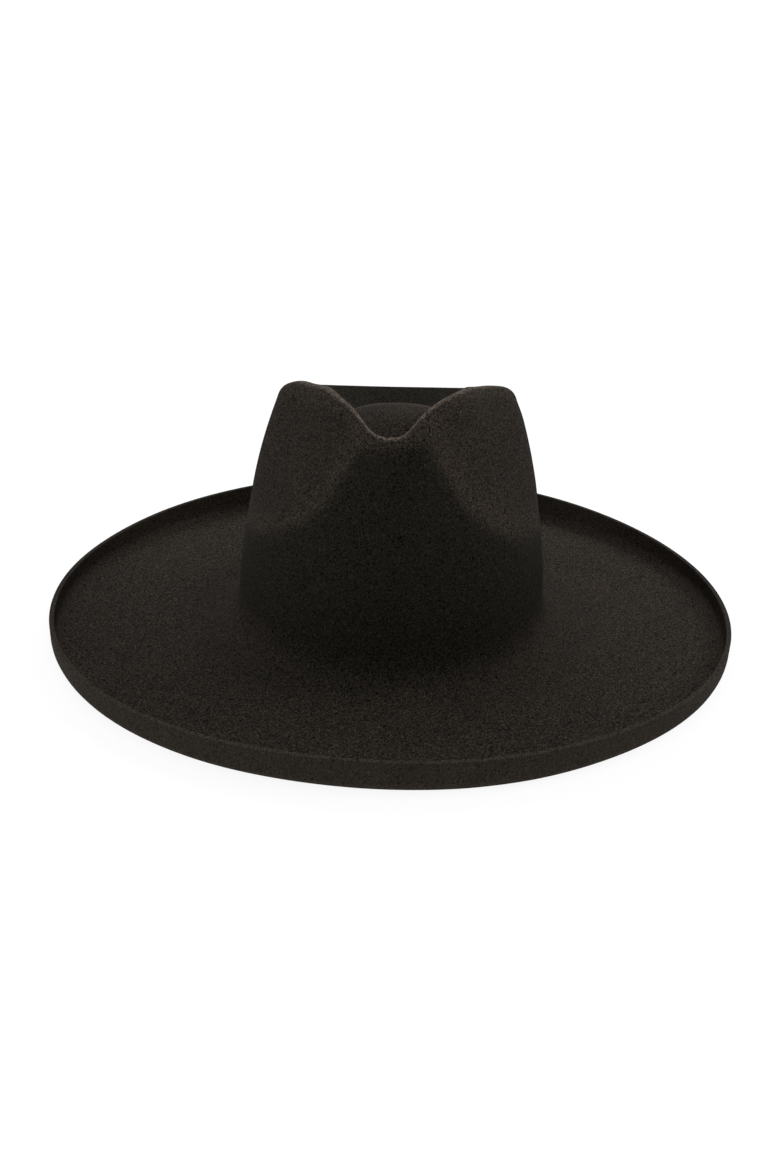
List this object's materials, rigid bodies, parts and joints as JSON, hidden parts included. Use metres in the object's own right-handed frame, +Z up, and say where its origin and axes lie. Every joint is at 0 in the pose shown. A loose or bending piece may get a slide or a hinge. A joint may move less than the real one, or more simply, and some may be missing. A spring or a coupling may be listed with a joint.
{
  "type": "wide-brim felt fedora",
  "caption": "Wide, flat-brimmed fedora of stiff dark felt with an upturned brim edge and a pinched teardrop crown, hollow for the head.",
  "frame": {"origin": "on the surface that the brim rests on, under the middle of the brim and of the head opening", "axes": "+Z up through the crown, -Y towards the front of the hat, where the crown is notched and pinched, +X to the wearer's left"},
  "size_m": [0.3756, 0.4132, 0.1457],
  "materials": {
    "felt": "matte blocked wool felt, very dark brown, with a fine fibrous nap"
  },
  "bodies": {
    "root": {"felt_body": "felt"}
  },
  "joints": []
}
